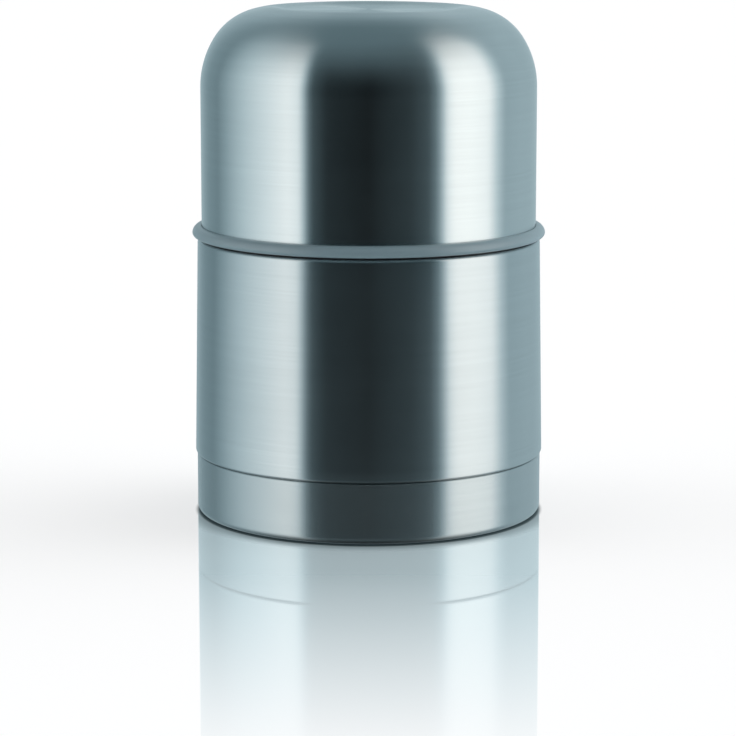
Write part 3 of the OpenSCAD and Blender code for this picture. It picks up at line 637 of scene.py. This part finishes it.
# Painted shadow: a dark diffuse is mixed in by the distance from the foot, as a thin ring of painted contact
# shadow and a fainter painted shade inside the strip.
from_foot = add("ShaderNodeVectorMath", place, foot_middle, operation="DISTANCE").outputs["Value"]
painted_contact_shadow = eased(add, from_foot, contact_shadow_r, 1.0, 0.0)
painted_strip_shade = result(add, "MULTIPLY", eased(add, from_foot, shade_r, shade_share, 0.0), within)
dark = add("ShaderNodeBsdfDiffuse", painted_shade_colour).outputs[0]
with_painted_shade = add("ShaderNodeMixShader", result(add, "MAXIMUM", painted_contact_shadow, painted_strip_shade), blend, dark).outputs[0]
fill(tree, tree.nodes["Material Output"], Surface=with_painted_shade)
floor_mesh.materials.append(floor_white)


# Reflector cards: what the polished steel sees, as one round tent that only reflections show. A broad dark
# card stands round the camera, with a bright soft box on each side of it, grey behind and dim grey above.
def direction(add, way):
    """The azimuth of a direction in turns, with 0.5 towards the camera and more to the right, the same angle
    in radians from the camera, and the direction's height."""
    split = add("ShaderNodeSeparateXYZ", way).outputs
    turn = result(add, "ARCTAN2", split["X"], result(add, "MULTIPLY", split["Y"], -1.0))
    azimuth = add("ShaderNodeMapRange", turn, -math.pi, math.pi).outputs["Result"]
    return azimuth, turn, split["Z"]


def neutral(level, top):
    """A light's level as a share of the top level, without a tint."""
    return (level / top, level / top, level / top, 1)


def cool(level, top):
    """A light's level as a share of the top level, with a tint that is cooler where it is darker."""
    tint = (min(1.02, 0.63 + 0.30 * level), 1.0, 1.15 - 0.13 * level)
    return (*[level / top * part for part in tint], 1)


def ramp(add, azimuth, levels, tinted):
    """Light over the azimuth from (degrees, level) rows, as a share of the top level, and that level."""
    top = max(level for _, level in levels)
    node = add("ShaderNodeValToRGB", azimuth)
    stops = node.color_ramp.elements
    while len(stops) < len(levels):
        stops.new(0.5)
    for stop, (degrees, level) in zip(stops, levels):
        stop.position = (degrees + 180) / 360
        stop.color = tinted(level, top)
    return node.outputs["Color"], top


card_levels = [(-180, 0.52), (-160, 0.45), (-140, 0.32), (-124, 0.28), (-112, 0.43), (-94, 0.70),
               (-74, 0.97), (-56, 1.21), (-48, 1.12), (-44.5, 0.65), (-41.5, 0.20), (-38, 0.065),
               (-28, 0.016), (0, 0.0), (28, 0.028), (41, 0.070), (46.5, 0.20), (50.5, 0.54), (54, 1.10),
               (60, 1.35), (72, 1.36), (88, 1.25), (97, 0.75), (105, 0.47), (125, 0.51), (150, 0.50),
               (180, 0.52)]
spans = np.radians([(15, 55), (19, 72), (-42, -9), (-70, -20)]).tolist()
lean_span, roof_span, floor_span, dark_span = spans
lean_turns, roof_left, roof_front = -5 / 360, math.radians(3), math.radians(4.5)
# roof_level is the dim grey above. floor_level and floor_share set a painted floor band, and dark_share a
# painted shade under the jar.
roof_level, floor_level, floor_share, dark_share = 0.205, 0.52, 0.40, 0.08
tent_r, tent_z = 1500.0, 75.0
tent = turned("reflector_tent", arc((0, tent_z), tent_r, -90, 90, 48), steps=96)
tent_glow, tree, shader, add = new_material("tent_glow")
tree.nodes.remove(shader)
place = add("ShaderNodeTexCoord").outputs["Object"]
centred = add("ShaderNodeVectorMath", place, (0, 0, tent_z * MM), operation="SUBTRACT").outputs["Vector"]
way = add("ShaderNodeVectorMath", centred, operation="NORMALIZE").outputs["Vector"]
azimuth, turn, height = direction(add, way)
climb = result(add, "ARCSINE", height)
leaning = eased(add, climb, lean_span, 0.0, lean_turns)
leant = result(add, "MULTIPLY_ADD", result(add, "SINE", turn), leaning, azimuth)
cards, top_level = ramp(add, leant, card_levels, cool)
roof_way = (-math.sin(roof_left), -math.sin(roof_front), math.cos(roof_front))
under_roof = add("ShaderNodeVectorMath", way, roof_way, operation="DOT_PRODUCT").outputs["Value"]
rise = eased(add, result(add, "ARCSINE", under_roof), roof_span, 0.0, 1.0)
closed = colour_mix(add, rise, cards, cool(roof_level, top_level))
# Below the horizon the tent shows a painted floor: a grey band in place of the floor, which reflections do
# not see. Lower down it is darkened as painted shade, where the jar shades the floor under it.
fall = eased(add, climb, floor_span, floor_share, 0.0)
floored = colour_mix(add, fall, closed, cool(floor_level, top_level))
shade = eased(add, climb, dark_span, dark_share, 1.0)
shaded = add("ShaderNodeVectorMath", floored, Scale=shade, operation="SCALE").outputs["Vector"]
glow = add("ShaderNodeEmission", shaded, top_level).outputs[0]
fill(tree, tree.nodes["Material Output"], Surface=glow)
tent.data.materials.append(tent_glow)
tent.visible_camera = False
tent.visible_diffuse = False
tent.visible_transmission = False
tent.visible_shadow = False


# Room light: soft light from all round, strongest from the right and weakest from the camera's side, as the
# soft boxes give it. The camera sees a white room.
room_levels = [(-180, 0.63), (-130, 1.02), (-95, 1.90), (-60, 0.68), (-30, 0.12), (30, 0.12),
               (60, 0.68), (92, 3.0), (125, 2.14), (160, 0.63), (180, 0.63)]
world = bpy.data.worlds.new("room_light")
world.use_nodes = True
tree = world.node_tree
add = adder(tree)
place = add("ShaderNodeTexCoord").outputs["Generated"]
room, room_top = ramp(add, direction(add, place)[0], room_levels, neutral)
background = fill(tree, tree.nodes["Background"], room, room_top).outputs[0]
white = add("ShaderNodeBackground", (1, 1, 1, 1), 1.0).outputs[0]
camera_ray = add("ShaderNodeLightPath").outputs["Is Camera Ray"]
seen = add("ShaderNodeMixShader", camera_ray, background, white).outputs[0]
fill(tree, tree.nodes["World Output"], Surface=seen)
bpy.context.scene.world = world

bpy.context.scene.view_settings.view_transform = "Standard"
